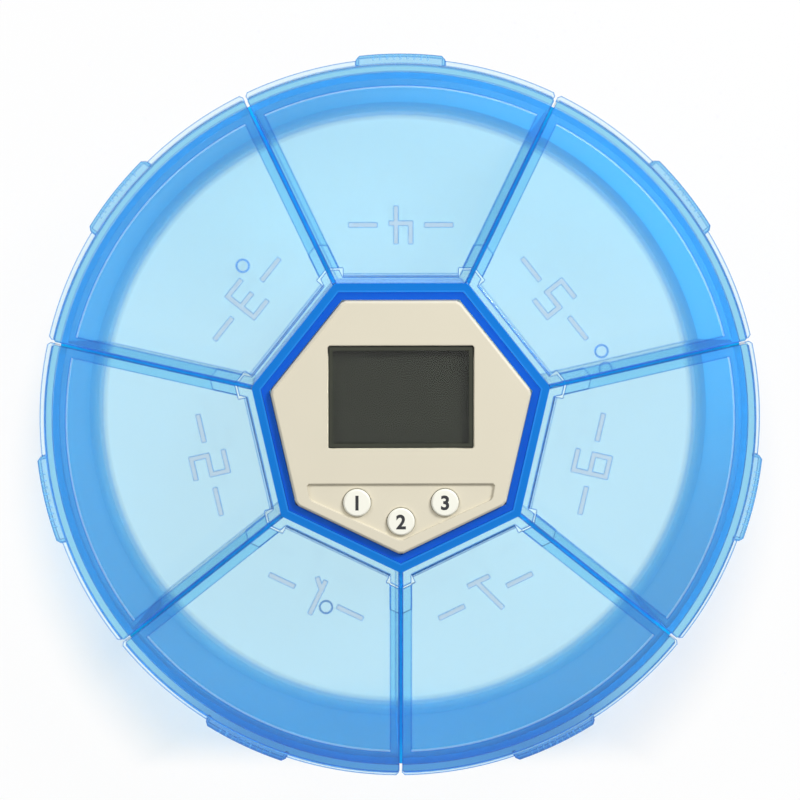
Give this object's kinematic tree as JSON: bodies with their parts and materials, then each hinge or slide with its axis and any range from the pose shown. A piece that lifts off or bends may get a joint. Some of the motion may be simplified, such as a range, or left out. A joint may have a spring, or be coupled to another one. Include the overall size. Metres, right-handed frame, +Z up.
{
  "type": "pill box with alarm",
  "caption": "Round pill box: clear blue tray with numbered flip lids around a hub that holds a lift-out timer with a display and push buttons.",
  "frame": {"origin": "on the axis of the round tray, at the height of the flat base that it rests on", "axes": "+Z up, out of the lids and the timer's face; +Y to the side of the box that is uppermost in the picture, where a flat side of the hub is; +X to the picture's right"},
  "size_m": [0.1272, 0.1272, 0.0236],
  "materials": {
    "blue_plastic": "clear light blue polypropylene, moulded smooth",
    "cream_plastic": "cream ABS, fine satin",
    "button_plastic": "pale ivory ABS, semi-gloss",
    "clear_plastic": "clear acrylic window, polished",
    "display_glass": "dark olive grey liquid crystal panel, satin",
    "white_plastic": "white moulded plastic",
    "strip_rubber": "pink silicone contact strip",
    "board_green": "green solder mask on glass fibre",
    "black_resin": "black resin",
    "steel": "nickel plated steel",
    "black_plastic": "black moulded plastic"
  },
  "bodies": {
    "box": {"tray": "blue_plastic", "lid_collar": "blue_plastic"},
    "lid_1": {"lid_1": "blue_plastic"},
    "lid_2": {"lid_2": "blue_plastic"},
    "lid_3": {"lid_3": "blue_plastic"},
    "lid_4": {"lid_4": "blue_plastic"},
    "lid_5": {"lid_5": "blue_plastic"},
    "lid_6": {"lid_6": "blue_plastic"},
    "lid_7": {"lid_7": "blue_plastic"},
    "timer": {"timer_front_case": "cream_plastic", "timer_back_case": "cream_plastic", "display_lens": "clear_plastic", "lcd_holder": "white_plastic", "contact_strip": "strip_rubber", "circuit_board": "board_green", "clock_chip": "black_resin", "clock_crystal": "steel", "buzzer": "black_plastic", "key_switches": "black_plastic", "coin_cell": "steel", "battery_spring": "steel", "battery_clip": "steel", "lcd_panel": "display_glass", "case_screws": "steel"},
    "button_left": {"button_left": "button_plastic"},
    "button_middle": {"button_middle": "button_plastic"},
    "button_right": {"button_right": "button_plastic"},
    "battery_door": {"battery_door": "cream_plastic"}
  },
  "joints": [
    {"name": "lid_1_hinge", "type": "hinge", "parent": "box", "child": "lid_1", "pos_m": [-0.01105, -0.02295, 0.02195], "axis": [-0.901, 0.4339, 0], "range_deg": [0, 90]},
    {"name": "lid_2_hinge", "type": "hinge", "parent": "box", "child": "lid_2", "pos_m": [-0.02483, -0.00567, 0.02195], "axis": [0.2225, -0.9749, 0], "range_deg": [-90, 0]},
    {"name": "lid_3_hinge", "type": "hinge", "parent": "box", "child": "lid_3", "pos_m": [-0.01991, 0.01588, 0.02195], "axis": [0.6235, 0.7818, 0], "range_deg": [0, 90]},
    {"name": "lid_4_hinge", "type": "hinge", "parent": "box", "child": "lid_4", "pos_m": [0, 0.02547, 0.02195], "axis": [-1, 0, 0], "range_deg": [-90, 0]},
    {"name": "lid_5_hinge", "type": "hinge", "parent": "box", "child": "lid_5", "pos_m": [0.01991, 0.01588, 0.02195], "axis": [0.6235, -0.7818, 0], "range_deg": [0, 90]},
    {"name": "lid_6_hinge", "type": "hinge", "parent": "box", "child": "lid_6", "pos_m": [0.02483, -0.00567, 0.02195], "axis": [0.2225, 0.9749, 0], "range_deg": [-90, 0]},
    {"name": "lid_7_hinge", "type": "hinge", "parent": "box", "child": "lid_7", "pos_m": [0.01105, -0.02295, 0.02195], "axis": [-0.901, -0.4339, 0], "range_deg": [0, 52]},
    {"name": "timer_lift", "type": "slide", "parent": "box", "child": "timer", "axis": [0, 0, 1], "range_m": [0, 0.025]},
    {"name": "button_left_press", "type": "slide", "parent": "timer", "child": "button_left", "axis": [0, 0, 1], "range_m": [-0.0005, 0], "stiffness_N_per_m": 400, "springref_m": 0.0005},
    {"name": "button_middle_press", "type": "slide", "parent": "timer", "child": "button_middle", "axis": [0, 0, 1], "range_m": [-0.0005, 0], "stiffness_N_per_m": 400, "springref_m": 0.0005},
    {"name": "button_right_press", "type": "slide", "parent": "timer", "child": "button_right", "axis": [0, 0, 1], "range_m": [-0.0005, 0], "stiffness_N_per_m": 400, "springref_m": 0.0005},
    {"name": "battery_door_turn", "type": "hinge", "parent": "timer", "child": "battery_door", "pos_m": [0, -0.0043, 0.0103], "axis": [0, 0, 1], "range_deg": [0, 45]}
  ]
}
